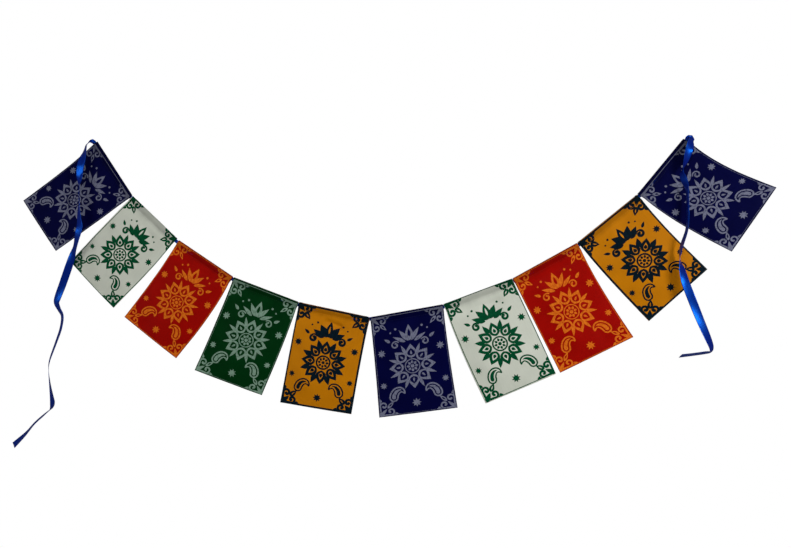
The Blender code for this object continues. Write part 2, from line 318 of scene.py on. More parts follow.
# How each ink printed: the border's line, its line along the top, the bars beside its corners and
# how far in they lie, and how heavy the scrolls and the flowers came out. Dark inks spread more, and
# the yellow cloth's border runs over its cut edge.
inkings = {
    "navy": {"line": 0.35, "top": 0.8, "bar": 1.1, "inset": 1.0, "scroll": 0.95, "flower": 0.76},
    "white": {"line": 1.0, "top": 0.9, "bar": 2.0, "inset": 0.1, "scroll": 1.35, "flower": 1.15},
    "red": {"line": 0.5, "top": 0.7, "bar": 1.2, "inset": 0.4, "scroll": 1.0, "flower": 0.78},
    "green": {"line": 0.35, "top": 0.8, "bar": 1.0, "inset": 0.8, "scroll": 1.0, "flower": 0.78},
    "yellow": {"line": 2.6, "top": 2.2, "bar": 3.4, "inset": -0.9, "scroll": 1.5, "flower": 1.35},
}


def petal(base, tip, halfWidth, fullness=0.8, steps=12):
    # A pointed leaf from base to tip, fullest nearer its base when fullness is below 1
    base = Vector(base)
    way = Vector(tip) - base
    side = Vector((-way.y, way.x)).normalized()
    parts = [step / steps for step in range(steps + 1)]
    oneSide = [base + way * t + side * halfWidth * math.sin(math.pi * t ** fullness) for t in parts]
    otherSide = [base + way * t - side * halfWidth * math.sin(math.pi * t ** fullness) for t in parts]
    return oneSide + otherSide[-2:0:-1]


def circle(centre, radius, steps=20):
    centre = Vector(centre)
    turns = [math.tau * step / steps for step in range(steps)]
    return [centre + Vector((math.cos(turn), math.sin(turn))) * radius for turn in turns]


def stroke(points, halves, roundEnd=True):
    # A brush stroke along points, with its half width at each, round at its last point
    left = []
    right = []
    for index, point in enumerate(points):
        way = (points[min(index + 1, len(points) - 1)] - points[max(index - 1, 0)]).normalized()
        side = Vector((-way.y, way.x))
        left.append(point + side * halves[index])
        right.append(point - side * halves[index])
    end = []
    if roundEnd:
        way = (points[-1] - points[-2]).normalized()
        side = Vector((-way.y, way.x))
        for step in range(1, 6):
            turn = math.pi * step / 6
            end.append(points[-1] + (side * math.cos(turn) + way * math.sin(turn)) * halves[-1])
    return left + end + right[::-1]


def curl(centre, startTurn, turns, outer, inner, startHalf, endHalf, late=0.8, steps=30):
    # A spiral stroke that winds in to a round end, the later the more open. Turns are in degrees.
    centre = Vector(centre)
    points = []
    halves = []
    for step in range(steps + 1):
        part = step / steps
        turn = math.radians(startTurn + turns * part)
        radius = outer + (inner - outer) * part ** late
        points.append(centre + Vector((math.cos(turn), math.sin(turn))) * radius)
        halves.append(startHalf + (endHalf - startHalf) * part)
    return stroke(points, halves)


def strip(x0, y0, x1, y1, step=1.8):
    # A rectangle with points close enough together to follow the cloth
    corners = [Vector((x0, y0)), Vector((x1, y0)), Vector((x1, y1)), Vector((x0, y1))]
    points = []
    for here, there in zip(corners, corners[1:] + corners[:1]):
        pieces = max(1, round((there - here).length / step))
        points += [here.lerp(there, piece / pieces) for piece in range(pieces)]
    return points


def cornerScroll(weight):
    # Measured inwards from a corner: a volute along each border, a leaf in the corner and one beyond
    shapes = [
        [petal((0.6, 0.6), (9.6, 9.6), 2.0 * weight)],
        [
            petal((10.0, 10.0), (18.2, 18.2), 2.3 * weight, 0.75),
            petal((12.2, 12.2), (15.8, 15.8), 0.9 / weight, 0.9),
        ],
    ]
    for swap in (False, True):
        outlines = [
            curl((13.6, 5.6), 250, 330, 4.3, 1.1, 0.9 * weight, 1.25 * weight, 1.8),
            stroke([Vector((1.0, 1.0)), Vector((5.0, 1.6)), Vector((12.1, 1.55))],
                   [1.4 * weight, 1.1 * weight, 0.9 * weight]),
            petal((18.4, 3.4), (23.2, 1.2), 1.1 * weight, 0.7),
        ]
        for outline in outlines:
            if swap:
                outline = [Vector((point.y, point.x)) for point in outline]
            shapes.append([outline])
    return shapes


def cornersAndBorder(inking, top):
    # The border's lines, the bars beside its corners and the corner scrolls. top is its upper edge.
    shapes = []
    wide = printDesign["halfWidth"]
    high = printDesign["halfHeight"]
    for signX in (-1, 1):
        for end in (-high, top):
            way = 1 if end > 0 else -1
            for loops in cornerScroll(inking["scroll"]):
                placed = []
                for loop in loops:
                    placed.append([Vector((signX * (wide - p.x), end - way * p.y)) for p in loop])
                shapes.append(placed)
    inset = inking["inset"]
    line = inking["line"]
    bar = inking["bar"]
    reach = printDesign["barLength"]
    shapes.append([strip(-wide, top, wide, top - inking["top"])])
    shapes.append([strip(-wide, inset - high, wide, inset - high + line)])
    for sign in (-1, 1):
        side = sign * (wide - inset)
        shapes.append([strip(side, -high, side - sign * line, top)])
        shapes.append([strip(sign * (wide - reach), top, side, top - bar)])
        shapes.append([strip(sign * (wide - reach), inset - high, side, inset - high + bar)])
        shapes.append([strip(side, top, side - sign * bar, top - reach)])
        shapes.append([strip(side, inset - high, side - sign * bar, reach - high)])
    return shapes


def around(count, offset=0.0):
    for index in range(count):
        turn = math.tau * (index + offset) / count
        yield Vector((math.sin(turn), math.cos(turn)))


def flowerShapes(weight):
    # A round lotus seen from above, a common ornament
    centre = Vector(printDesign["flowerMiddle"])
    count = printDesign["flowerPetals"]
    radius = printDesign["flowerRadius"]
    ring = printDesign["flowerRing"]
    shapes = [[circle(centre, ring, 40), circle(centre, ring - 1.7 * weight, 40)]]
    shapes.append([circle(centre, 2.2)])
    for way in around(count):
        outer = petal(centre + way * 10.4, centre + way * radius, 6.6, 0.7, 16)
        gap = petal(centre + way * 13.2, centre + way * (radius - 5.6), 3.6 / weight, 0.7, 14)
        core = petal(centre + way * 14.6, centre + way * (radius - 8.2), 1.7 * weight, 0.7, 12)
        shapes.append([outer, gap, core])
        shapes.append([petal(centre + way * 3.0, centre + way * 7.4, 1.6, 0.8, 8)])
    for way in around(count, 0.5):
        shapes.append([petal(centre + way * 18.0, centre + way * (radius + 2.0), 2.6 * weight, 0.6, 12)])
    return shapes


def paisley(sign):
    # A drop with a bent tip, drawn as three strokes inside each other
    points = []
    widths = []
    for step in range(25):
        part = step / 24
        turn = math.radians(165 - 165 * part)
        reach = 6.0 + 2.0 * part
        x = 18.5 + math.cos(turn) * reach
        y = -42.5 + math.sin(turn) * 9.0
        points.append(Vector((-sign * x, y)))
        widths.append(5.7 * math.sin(math.pi / 2 * part ** 0.8))
    loops = []
    for inset in (0.0, 1.9, 3.4):
        kept = [(point, width - inset) for point, width in zip(points, widths) if width - inset > 0.05]
        loops.append(stroke([point for point, width in kept], [width for point, width in kept]))
    return [loops]


def sprayShapes(weight):
    # A lotus bud between two curled stems, above the flower
    shapes = [[petal((0, 28.0), (0, 49.0), 4.8, 0.7), petal((0, 33.0), (0, 43.0), 1.5 / weight, 0.8)]]
    for sign in (-1, 1):
        shapes.append([petal((sign * 1.5, 28.0), (sign * 12.5, 43.0), 3.7 * weight, 0.75)])
        shapes.append([petal((sign * 5.5, 27.0), (sign * 20.5, 35.5), 3.0 * weight, 0.7)])
        volute = curl((18.5, 24.5), 150, -400, 5.4, 1.9, 0.9 * weight, 1.6 * weight)
        shapes.append([[Vector((sign * point.x, point.y)) for point in volute]])
        shapes.append([petal((sign * 24.5, 29.0), (sign * 31.5, 34.0), 1.9, 0.7)])
        shapes.append([circle((sign * 16.5, 45.0), 1.5, 14)])
        shapes.append([circle((sign * 23.0, 41.0), 1.2, 12)])
    return shapes


def starShapes():
    shapes = []
    for x, y, size in printDesign["stars"]:
        for sign in ((-1, 1) if x else (1,)):
            centre = Vector((sign * x, y))
            outline = []
            for index, way in enumerate(around(16)):
                reach = size if index % 2 == 0 else size * printDesign["starNotch"]
                outline.append(centre + way * reach)
            shapes.append([outline])
    return shapes


def printShapes(flag):
    inking = inkings[flag["colour"]]
    shapes = cornersAndBorder(inking, flagCloth["drop"] / 2 - flag["topLine"])
    shapes += flowerShapes(inking["flower"]) + sprayShapes(inking["flower"]) + starShapes()
    shapes += paisley(1) + paisley(-1)
    return shapes


def counterClockwise(loop):
    area = sum(here.cross(there) for here, there in zip(loop, loop[1:] + loop[:1]))
    return loop if area > 0 else loop[::-1]


def cutCloth(flag):
    # Flat triangles of one flag, with the print's outlines cut into them. Up is towards the fold.
    size = flagCloth
    points = []
    outlines = []
    shapeOf = []

    def addOutline(loop, shape):
        start = len(points)
        points.extend(counterClockwise(loop))
        outlines.append(list(range(start, len(points))))
        shapeOf.append(shape)

    addOutline(strip(0.0, -size["drop"], size["width"], size["turned"]), -1)
    turn = math.radians(flag["turn"])
    middle = Vector((size["width"] / 2 + flag["shift"][0], -size["drop"] / 2 + flag["shift"][1]))
    for shape, loops in enumerate(printShapes(flag)):
        for loop in loops:
            placed = []
            for point in loop:
                x = point.x * math.cos(turn) - point.y * math.sin(turn)
                y = point.x * math.sin(turn) + point.y * math.cos(turn)
                placed.append(middle + Vector((x, y)))
            addOutline(placed, shape)
    columns = round(size["width"] / size["mesh"])
    heights = []
    height = size["turned"]
    while height > -size["drop"]:
        heights.append(height)
        height -= size["hemMesh"] if height > -size["stitching"] - 2 else size["mesh"]
    for row, height in enumerate(heights[1:]):
        for column in range(1, columns):
            across = (column + 0.5 * (row % 2) - 0.25) / columns * size["width"]
            points.append(Vector((across, height)))
    result = delaunay_2d_cdt(points, [], outlines, 0, 1e-4, True)
    places, triangles, origins = result[0], result[2], result[5]
    kept = []
    inked = []
    for triangle, origin in zip(triangles, origins):
        if 0 not in origin:
            continue
        counts = {}
        for outline in origin:
            counts[shapeOf[outline]] = counts.get(shapeOf[outline], 0) + 1
        kept.append(triangle)
        inked.append(any(count % 2 for shape, count in counts.items() if shape >= 0))
    return places, kept, inked


def addMesh(name, points, faces, materials):
    data = bpy.data.meshes.new(name)
    data.from_pydata([point * mm for point in points], [], faces)
    for material in materials:
        data.materials.append(material)
    data.shade_smooth()
    piece = bpy.data.objects.new(name, data)
    bpy.context.scene.collection.objects.link(piece)
    return piece


def addFlatMap(piece, flatPlaces):
    # UVs are the cloth's own flat millimetres, as metres, so the weave keeps its real scale
    layer = piece.data.uv_layers.new(name="flat")
    for loop in piece.data.loops:
        x, y = flatPlaces[loop.vertex_index]
        layer.data[loop.index].uv = (x * mm, y * mm)


def addThickness(piece, thickness, backMaterials):
    solid = piece.modifiers.new("thickness", "SOLIDIFY")
    solid.thickness = thickness * mm
    solid.offset = 0.0
    solid.material_offset = backMaterials
    solid.material_offset_rim = 0


# Colours of each cloth and of its ink
clothColours = {
    "navy": {
        "cloth": "#04063c", "deep": "#030432", "gloss": 0.015,
        "ink": "#9194ab", "inkDeep": "#575a70", "cover": 0.74,
    },
    "white": {
        "cloth": "#e0e4d6", "deep": "#d0d5c6", "gloss": 0.12,
        "ink": "#005230", "inkDeep": "#004628", "cover": 0.98,
    },
    "red": {
        "cloth": "#ab0801", "deep": "#9b0601", "gloss": 0.03,
        "ink": "#ec7c1c", "inkDeep": "#d45e12", "cover": 0.90,
    },
    "green": {
        "cloth": "#013612", "deep": "#002c0d", "gloss": 0.02,
        "ink": "#94b19e", "inkDeep": "#658570", "cover": 0.78,
    },
    "yellow": {
        "cloth": "#d28203", "deep": "#c27602", "gloss": 0.05,
        "ink": "#071c28", "inkDeep": "#04131c", "cover": 0.98,
    },
}

satinWeave = {
    "floatLength": 2.4,       # real floats are 0.5 long and 0.12 wide, too fine to show
    "floatWidth": 0.6,
    "floatGap": 0.12,
    "bump": 0.05,
    "bumpStrength": 0.25,
    "streaks": (900, 60, 1),  # to a metre: each about 1 wide and 17 long
    "tones": (28, 28, 1),     # to a metre: each about 36 across
    "streakShare": 0.35,
    "toneRange": (0.4, 0.9),
    "roughness": 0.5,
    "reverseRoughness": 0.65,
    "ior": 1.54,              # polyester
    "hemFrom": 4.0,           # painted shade along the hem is full down to here, and fades out into the single cloth by here
    "hemTo": 14.0,            # and fades into the single cloth by here
    "hemWander": 6.0,         # how far its lower limit wanders up and down in all
    "hemPatches": (45, 90, 1),  # to a metre: each about 22 by 11
    "hemPaintedShade": 0.34,
    "showsThrough": 0.25,     # how much of the ink's colour reaches the back
}


def flatPlace(tree, scale):
    # A place on the flat cloth, with that many of a pattern's repeats to a metre
    place = addNode(tree, "ShaderNodeUVMap", {"uv_map": "flat"})
    mapping = addNode(tree, "ShaderNodeMapping", {}, {"Vector": place.outputs["UV"], "Scale": scale})
    return mapping.outputs["Vector"]


def paintedHemShade(tree, colour):
    # Painted shade: where the cloth lies double in the hem its colour is darkened, as though less light
    # came through, fading out below it
    place = addNode(tree, "ShaderNodeUVMap", {"uv_map": "flat"})
    parts = addNode(tree, "ShaderNodeSeparateXYZ", {}, {"Vector": place.outputs["UV"]})
    patches = addNode(tree, "ShaderNodeTexNoise", {}, {
        "Vector": flatPlace(tree, satinWeave["hemPatches"]), "Scale": 1.0, "Detail": 2.0,
    })
    wander = addNode(tree, "ShaderNodeMath", {"operation": "MULTIPLY_ADD"}, {
        0: patches.outputs["Fac"], 1: satinWeave["hemWander"] * mm, 2: parts.outputs["Y"],
    })
    middle = satinWeave["hemWander"] / 2
    amount = addNode(tree, "ShaderNodeMapRange", {"interpolation_type": "SMOOTHSTEP"}, {
        "Value": wander.outputs["Value"],
        "From Min": (middle - satinWeave["hemTo"]) * mm, "From Max": (middle - satinWeave["hemFrom"]) * mm,
        "To Min": 0.0, "To Max": satinWeave["hemPaintedShade"],
    })
    # Painted shade: the colour is darkened along the hem
    paintedShade = addNode(tree, "ShaderNodeMix", {"data_type": "RGBA", "blend_type": "MULTIPLY"}, {
        0: amount.outputs["Result"], 6: colour, 7: (0.0, 0.0, 0.0, 1.0),
    })
    return paintedShade.outputs[2]


def satinPolyester(name, hexes, roughness, specular):
    # Satin-woven polyester: smooth, with long floats that give a soft gloss and slight streaks
    material = newMaterial(name)
    tree = material.node_tree
    streak = addNode(tree, "ShaderNodeTexNoise", {}, {
        "Vector": flatPlace(tree, satinWeave["streaks"]), "Scale": 1.0, "Detail": 3.0,
    })
    tone = addNode(tree, "ShaderNodeTexNoise", {}, {
        "Vector": flatPlace(tree, satinWeave["tones"]), "Scale": 1.0, "Detail": 2.0,
    })
    both = addNode(tree, "ShaderNodeMath", {"operation": "MULTIPLY_ADD"}, {
        0: streak.outputs["Fac"], 1: satinWeave["streakShare"], 2: tone.outputs["Fac"],
    })
    low, high = satinWeave["toneRange"]
    level = addNode(tree, "ShaderNodeMapRange", {}, {
        "Value": both.outputs["Value"], "From Min": low, "From Max": high,
    })
    colour = addNode(tree, "ShaderNodeMix", {"data_type": "RGBA"}, {
        0: level.outputs["Result"], 6: linear(hexes[0]), 7: linear(hexes[1]),
    })
    floats = addNode(tree, "ShaderNodeTexBrick", {"offset": 0.4, "offset_frequency": 2}, {
        "Vector": flatPlace(tree, (1, 1, 1)), "Scale": 1.0,
        "Brick Width": satinWeave["floatWidth"] * mm, "Row Height": satinWeave["floatLength"] * mm,
        "Mortar Size": satinWeave["floatGap"] * mm, "Mortar Smooth": 1.0,
    })
    bump = addNode(tree, "ShaderNodeBump", {"invert": True}, {
        "Height": floats.outputs["Fac"], "Strength": satinWeave["bumpStrength"],
        "Distance": satinWeave["bump"] * mm,
    })
    return finishMaterial(material, {
        # Base colour with the painted shade along the hem
        "Base Color": paintedHemShade(tree, colour.outputs[2]), "Roughness": roughness,
        "IOR": satinWeave["ior"], "Specular IOR Level": specular, "Normal": bump.outputs["Normal"],
    }, hexes[0])


inkFilm = {
    "specks": (420, 260, 1),  # to a metre: each about 2.4 by 3.8
    "grain": (0.38, 0.62),    # the closer together, the more the specks stand out
    "thinFrom": 0.22,         # below the ink's cover, where the cloth begins to show,
    "thinTo": 0.08,           # and where it shows most
    "thinnest": 0.7,
    "bump": 0.05,
    "bumpStrength": 0.2,
    "roughness": 0.6,
    "ior": 1.5,
    "specular": 0.04,
}


def screenInk(name, hexes, cloth, cover):
    # Screen-print ink: a matt film, slightly uneven where the cloth's floats took less of it
    material = newMaterial(name)
    tree = material.node_tree
    mottle = addNode(tree, "ShaderNodeTexNoise", {}, {
        "Vector": flatPlace(tree, inkFilm["specks"]), "Scale": 1.0, "Detail": 4.0, "Roughness": 0.65,
    })
    low, high = inkFilm["grain"]
    grain = addNode(tree, "ShaderNodeMapRange", {}, {
        "Value": mottle.outputs["Fac"], "From Min": low, "From Max": high,
    })
    tint = addNode(tree, "ShaderNodeMix", {"data_type": "RGBA"}, {
        0: grain.outputs["Result"], 6: linear(hexes[0]), 7: linear(hexes[1]),
    })
    thin = addNode(tree, "ShaderNodeMapRange", {}, {
        "Value": mottle.outputs["Fac"], "From Min": cover - inkFilm["thinFrom"],
        "From Max": cover - inkFilm["thinTo"], "To Min": 0.0, "To Max": inkFilm["thinnest"],
    })
    colour = addNode(tree, "ShaderNodeMix", {"data_type": "RGBA"}, {
        0: thin.outputs["Result"], 6: tint.outputs[2], 7: linear(cloth),
    })
    bump = addNode(tree, "ShaderNodeBump", {}, {
        "Height": mottle.outputs["Fac"], "Strength": inkFilm["bumpStrength"],
        "Distance": inkFilm["bump"] * mm,
    })
    return finishMaterial(material, {
        # Base colour with the painted shade along the hem
        "Base Color": paintedHemShade(tree, colour.outputs[2]), "Roughness": inkFilm["roughness"],
        "IOR": inkFilm["ior"], "Specular IOR Level": inkFilm["specular"],
        "Normal": bump.outputs["Normal"],
    }, hexes[0])


def blend(first, second, part):
    # A hex colour between two others, mixed in linear light
    mixed = "#"
    for a, b in zip(linear(first)[:3], linear(second)[:3]):
        value = a + (b - a) * part
        value = value * 12.92 if value <= 0.0031308 else 1.055 * value ** (1 / 2.4) - 0.055
        mixed += f"{round(value * 255):02x}"
    return mixed


def flagMaterials(colour):
    # Front cloth, front ink, the duller back of the cloth, and the print showing through to the back
    own = clothColours[colour]
    cloths = [own["deep"], own["cloth"]]
    inks = [own["inkDeep"], own["ink"]]
    share = satinWeave["showsThrough"]
    throughs = [blend(own["cloth"], own["ink"], share), blend(own["deep"], own["ink"], share)]
    dull = satinWeave["reverseRoughness"]
    return [
        satinPolyester(f"{colour}SatinPolyester", cloths, satinWeave["roughness"], own["gloss"]),
        screenInk(f"{colour}FlagScreenInk", inks, own["cloth"], own["cover"]),
        satinPolyester(f"{colour}SatinReverse", cloths, dull, own["gloss"]),
        satinPolyester(f"{colour}PrintShowingThrough", throughs, dull, own["gloss"]),
    ]


stitching = {
    "pitch": 2.8,             # from one stitch to the next
    "length": 2.1,
    "radius": 0.17,
    "margin": 1.2,            # from the cut sides
    "sides": 6,
    "rings": ((0.0, 0.35), (0.2, 0.85), (0.5, 1.0), (0.8, 0.85), (1.0, 0.35)),  # along it, thickness
    "ply": 900.0,             # the twist repeats about every 0.7
    "plyPaintedShade": 0.3,          # painted shade: how much darker it is between two plies
    "bump": 0.04,
    "bumpStrength": 0.4,
    "roughness": 0.65,
    "ior": 1.54,              # polyester
    "specular": 0.2,
}


def threadMaterial(name, hexColour):
    # Spun polyester sewing thread: dull, with its ply as a fine twist and painted shade between the plies
    material = newMaterial(name)
    tree = material.node_tree
    place = addNode(tree, "ShaderNodeTexCoord")
    ply = addNode(tree, "ShaderNodeTexWave", {"bands_direction": "DIAGONAL"}, {
        "Vector": place.outputs["Object"], "Scale": stitching["ply"],
    })
    # Painted shade: the thread's colour darkened for the grooves between its plies
    between = blend(hexColour, "#000000", stitching["plyPaintedShade"])
    tone = addNode(tree, "ShaderNodeMix", {"data_type": "RGBA"}, {
        0: ply.outputs["Fac"], 6: linear(between), 7: linear(hexColour),
    })
    bump = addNode(tree, "ShaderNodeBump", {}, {
        "Height": ply.outputs["Fac"], "Strength": stitching["bumpStrength"],
        "Distance": stitching["bump"] * mm,
    })
    return finishMaterial(material, {
        "Base Color": tone.outputs[2], "Roughness": stitching["roughness"], "IOR": stitching["ior"],
        "Specular IOR Level": stitching["specular"], "Normal": bump.outputs["Normal"],
    }, hexColour)


def addStitches(flag, material):
    # A row of lockstitches on the front of the hem and one on its back, their ends sunk into the cloth
    points = []
    faces = []
    rings = stitching["rings"]
    sides = stitching["sides"]
    count = int((flagCloth["width"] - 2 * stitching["margin"]) / stitching["pitch"])
    for side in (1, -1):
        for index in range(count):
            start = stitching["margin"] + index * stitching["pitch"]
            first = len(points)
            for part, swell in rings:
                across = start + part * stitching["length"]
                centre = clothPoint(flag, across, side * flagCloth["stitching"])
                lift = flagCloth["thickness"] / 2 + stitching["radius"] * (0.9 * swell - 0.5)
                centre.y -= side * lift
                down = downHang(flag["tilt"])
                for corner in range(sides):
                    turn = math.tau * corner / sides
                    offset = down * math.cos(turn) + Vector((0.0, math.sin(turn), 0.0))
                    points.append(centre + offset * stitching["radius"] * swell)
            for ring in range(len(rings) - 1):
                for corner in range(sides):
                    here = first + ring * sides
                    after = (corner + 1) % sides
                    faces.append((here + corner, here + after, here + sides + after, here + sides + corner))
            last = first + (len(rings) - 1) * sides
            faces.append(tuple(range(first + sides - 1, first - 1, -1)))
            faces.append(tuple(range(last, last + sides)))
    return addMesh(flag["name"] + "_stitches", points, faces, [material])


materialSets = {colour: flagMaterials(colour) for colour in clothColours}
threads = {}
for colour, own in clothColours.items():
    threads[colour] = threadMaterial(colour + "SewingThread", own["cloth"])
print("flag materials made")

for flag in flags:
    flatPlaces, triangles, inked = cutCloth(flag)
    points = [clothPoint(flag, place.x, -place.y) for place in flatPlaces]
    piece = addMesh(flag["name"] + "_cloth", points, triangles, materialSets[flag["colour"]])
    for polygon, hasInk in zip(piece.data.polygons, inked):
        polygon.material_index = 1 if hasInk else 0
    addFlatMap(piece, flatPlaces)
    addThickness(piece, flagCloth["thickness"], 2)
    stitches = addStitches(flag, threads[flag["colour"]])
    for part in (piece, stitches):
        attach(part, "root")
    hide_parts(flag["name"])
    print(piece.name, len(triangles), "triangles")

# Ribbon
ribbon = {
    "width": 10.0,
    "thickness": 0.3,
    "length": 1700.0,
    "step": 1.6,
    "acrossSteps": 12,
    "opening": 8.0,           # length over which it opens out beyond the hems
    "rolled": 265.0,          # degrees that it is rolled up inside the hems
    "pressed": 0.6,           # how flat the roll is pressed there
    "curl": 8.0,              # degrees that it curls across in its free ends
    "keepIn": 12.0,           # how far from a joint of two flags it starts to bend
    "slantedCut": 2.1,        # how far the edges of the right cut end run out and back
    "cutLength": 9.0,
    "colour": "#0b1d8c",
    "deep": "#091877",
    "shine": "#1478ff",       # the floats' shine has taken up a lighter blue than their body
    "shineLevel": 1.0,
    "ior": 1.95,              # a bundle of bright floats shines more than the 1.54 of one thread
    "roughness": 0.27,
    "anisotropy": 0.6,
    "floatLength": 1.8,       # as on the flags, the real floats are too fine to show
    "floatWidth": 0.4,
    "floatGap": 0.08,
    "bump": 0.03,
    "bumpStrength": 0.2,
    "streaks": (700, 40, 1),  # to a metre: each about 1.4 wide and 25 long
}

# Bends of the two free ends: x and z from the ribbon's exit on the left, how far each stands forward,
# and its turn in degrees, 0 with its full width to the front and 90 with its edge.
leftTail = [
    (-1.4, 1.6, 0.2, 12), (-5.6, 1.2, 3.8, 62), (-8.8, -2.6, 6.6, 54), (-9.5, -8.0, 8.6, 46),
    (-10.1, -14.0, 10.6, 34), (-11.7, -21.5, 12.6, 12), (-13.6, -30.5, 13.8, 0),
    (-15.7, -42.0, 13.0, 6), (-16.0, -51.0, 12.6, 34), (-16.2, -60.0, 12.8, 64),
    (-16.0, -76.0, 13.4, 62), (-16.2, -90.0, 13.8, 46), (-15.3, -103.0, 14.6, 30),
    (-14.3, -111.0, 15.6, 16), (-15.9, -119.0, 15.8, 12), (-18.5, -128.0, 15.0, 24),
    (-22.7, -140.0, 12.2, 33), (-28.2, -152.0, 9.4, 6), (-36.4, -169.5, 5.8, -18),
    (-45.8, -190.0, 2.4, -10), (-52.9, -205.5, 0.8, 4), (-54.9, -213.6, 0.6, 19),
    (-50.3, -222.6, 1.6, 37), (-45.7, -231.5, 2.4, 42), (-47.5, -248.0, 3.2, 46),
    (-54.8, -268.5, 3.6, 50), (-63.0, -290.5, 4.0, 55), (-64.7, -304.0, 4.0, 61),
    (-62.6, -323.0, 4.2, 72), (-60.0, -338.5, 4.6, 87), (-58.6, -348.0, 5.0, 99),
    (-60.4, -355.8, 5.0, 84), (-68.2, -362.2, 5.0, 68), (-84.0, -375.4, 4.6, 62),
    (-98.2, -390.8, 4.2, 52), (-115.8, -406.6, 4.0, 30),
]
rightTail = [
    (766.6, -11.4, 0.1, 8), (770.0, -11.2, 4.2, 54), (769.4, -17.0, 8.4, 34),
    (767.8, -24.5, 10.0, 22), (765.6, -31.5, 10.2, 34), (762.9, -40.0, 10.6, 56),
    (759.7, -48.0, 11.4, 84), (758.4, -54.0, 12.2, 114), (760.4, -60.5, 12.8, 136),
    (763.0, -68.0, 13.0, 120), (764.6, -76.0, 13.0, 104), (765.1, -94.5, 13.0, 103),
    (765.1, -107.5, 13.0, 103), (764.0, -122.0, 13.0, 104), (758.9, -138.5, 13.0, 108),
    (756.4, -149.0, 13.0, 100), (756.4, -159.0, 13.4, 76), (758.9, -170.5, 14.8, 40),
    (762.0, -184.0, 16.4, 14), (766.2, -196.0, 17.2, 4), (770.4, -207.0, 16.8, 2),
    (779.6, -230.0, 14.2, 18), (788.9, -251.6, 11.4, 36), (793.2, -262.8, 9.0, 52),
    (792.2, -267.7, 7.2, 68), (784.6, -269.5, 5.8, 66), (772.0, -271.6, 4.8, 66),
    (757.8, -273.6, 4.0, 64),
]


def hemEnd(flag, side):
    # The middle of a hem's left end where side is 0, or of its right end where it is 1
    return flag["corners"][side] + downHang(flag["tilt"]) * flagCloth["hemMiddle"]


def hemKnots():
    # The ribbon's middle inside the hems, held off each joint so that it bends softly there
    knots = []
    for flag in flags:
        way = alongTilt(flag["tilt"])
        start = hemEnd(flag, 0)
        end = hemEnd(flag, 1)
        first = start if flag is flags[0] else start + way * ribbon["keepIn"]
        last = end if flag is flags[-1] else end - way * ribbon["keepIn"]
        knots.append((first, 0.0))
        for part in (0.25, 0.5, 0.75):
            knots.append((first.lerp(last, part), 0.0))
        knots.append((last, 0.0))
    return knots


def curvePoint(knots, index, part):
    # Place and turn on a smooth curve through the knots, heeding the one before and the one after
    weights = (
        -0.5 * part + part ** 2 - 0.5 * part ** 3,
        1.0 - 2.5 * part ** 2 + 1.5 * part ** 3,
        0.5 * part + 2.0 * part ** 2 - 1.5 * part ** 3,
        -0.5 * part ** 2 + 0.5 * part ** 3,
    )
    place = Vector((0.0, 0.0, 0.0))
    turn = 0.0
    for offset, weight in zip((-1, 0, 1, 2), weights):
        knot = knots[min(max(index + offset, 0), len(knots) - 1)]
        place += knot[0] * weight
        turn += knot[1] * weight
    return place, turn


def ribbonRoute():
    leftKnots = [(Vector((x, -front, z)), turn) for x, z, front, turn in reversed(leftTail)]
    rightKnots = [(Vector((x, -front, z)), turn) for x, z, front, turn in rightTail]
    knots = leftKnots + hemKnots() + rightKnots
    route = []
    for index in range(len(knots) - 1):
        long = (knots[index + 1][0] - knots[index][0]).length
        pieces = max(2, round(long / ribbon["step"]))
        for piece in range(pieces):
            route.append(curvePoint(knots, index, piece / pieces))
    route.append(knots[-1])
    return route


def ribbonSection(opened):
    # Across the ribbon: rolled up where opened is 0 and nearly flat where it is 1
    angle = math.radians(ribbon["rolled"] + (ribbon["curl"] - ribbon["rolled"]) * opened)
    radius = ribbon["width"] / angle
    section = []
    for step in range(ribbon["acrossSteps"] + 1):
        part = step / ribbon["acrossSteps"] - 0.5
        turn = part * angle
        section.append((radius * math.sin(turn), radius * (1 - math.cos(turn)), part * ribbon["width"]))
    middle = sum(height for wide, height, flat in section) / len(section)
    squash = ribbon["pressed"] + (1 - ribbon["pressed"]) * opened
    return [(wide, (height - middle) * squash, flat) for wide, height, flat in section]


def addRibbon(material):
    route = ribbonRoute()
    places = [place for place, turn in route]
    gone = [0.0]
    for here, there in zip(places, places[1:]):
        gone.append(gone[-1] + (there - here).length)
    firstHem = hemEnd(flags[0], 0)
    lastHem = hemEnd(flags[-1], 1)
    enters = gone[min(range(len(places)), key=lambda index: (places[index] - firstHem).length)]
    leaves = gone[min(range(len(places)), key=lambda index: (places[index] - lastHem).length)]
    points = []
    flatPlaces = []
    for index, (place, turn) in enumerate(route):
        ahead = (places[min(index + 1, len(places) - 1)] - places[max(index - 1, 0)]).normalized()
        flatSide = ahead.cross(Vector((0.0, 1.0, 0.0))).normalized()
        frontSide = flatSide.cross(ahead)
        angle = math.radians(turn)
        wide = flatSide * math.cos(angle) + frontSide * math.sin(angle)
        thick = ahead.cross(wide)
        outside = max(enters - gone[index], gone[index] - leaves, 0.0)
        opened = smooth(outside / ribbon["opening"])
        nearCut = max(0.0, 1 - (gone[-1] - gone[index]) / ribbon["cutLength"])
        for across, height, flat in ribbonSection(opened):
            slant = ribbon["slantedCut"] * nearCut * flat * 2 / ribbon["width"]
            points.append(place + wide * across + thick * height + ahead * slant)
            flatPlaces.append((flat, gone[index]))
    faces = []
    row = ribbon["acrossSteps"] + 1
    for index in range(len(route) - 1):
        for step in range(ribbon["acrossSteps"]):
            here = index * row + step
            faces.append((here, here + 1, here + row + 1, here + row))
    piece = addMesh("ribbon_satin", points, faces, [material])
    addFlatMap(piece, flatPlaces)
    addThickness(piece, ribbon["thickness"], 0)
    print("ribbon length", round(gone[-1]), "mm, tails", round(enters), "and", round(gone[-1] - leaves))
    return piece


